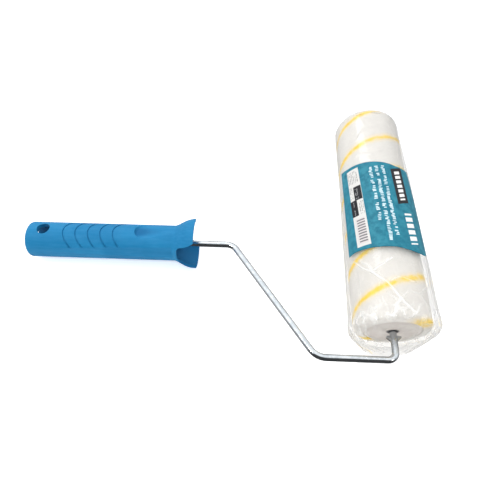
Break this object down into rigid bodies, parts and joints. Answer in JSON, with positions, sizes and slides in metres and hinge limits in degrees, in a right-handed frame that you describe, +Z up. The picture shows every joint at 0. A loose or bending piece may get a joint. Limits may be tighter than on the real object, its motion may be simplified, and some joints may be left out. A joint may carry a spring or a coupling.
{
  "type": "paint roller",
  "caption": "Hand paint roller: moulded grip on a bent wire frame, with a free-turning napped cover inside a clear film bag that carries a plain label.",
  "frame": {"origin": "on the resting surface, under the middle of the whole object's box", "axes": "+Z up; +Y along the axle towards the cover's free end; -X towards the grip"},
  "size_m": [0.3719, 0.2617, 0.0709],
  "materials": {
    "grip": "satin moulded polypropylene, blue",
    "wire": "bright zinc-plated steel wire",
    "spring_steel": "pressed spring steel",
    "cap": "moulded polypropylene, off-white",
    "core": "extruded polypropylene tube",
    "nap": "acrylic pile, white with a spiral of yellow yarn",
    "film": "clear shrink film",
    "label": "printed label, teal, no lettering"
  },
  "bodies": {
    "frame": {"handle_grip": "grip", "wire_frame": "wire", "retaining_cap": "spring_steel"},
    "cover": {"near_end_cap": "cap", "far_end_cap": "cap", "core_tube": "core", "nap_cover": "nap"},
    "wrapper": {"film_bag": "film", "printed_label": "label"}
  },
  "joints": [
    {"name": "cover_spin", "type": "hinge", "parent": "frame", "child": "cover", "pos_m": [0.1484, 0, 0.0336], "axis": [0, 1, 0], "continuous": true},
    {"name": "bag_pull", "type": "slide", "parent": "cover", "child": "wrapper", "axis": [0, 1, 0], "range_m": [0, 0.26], "deforming": ["film_bag"]}
  ]
}
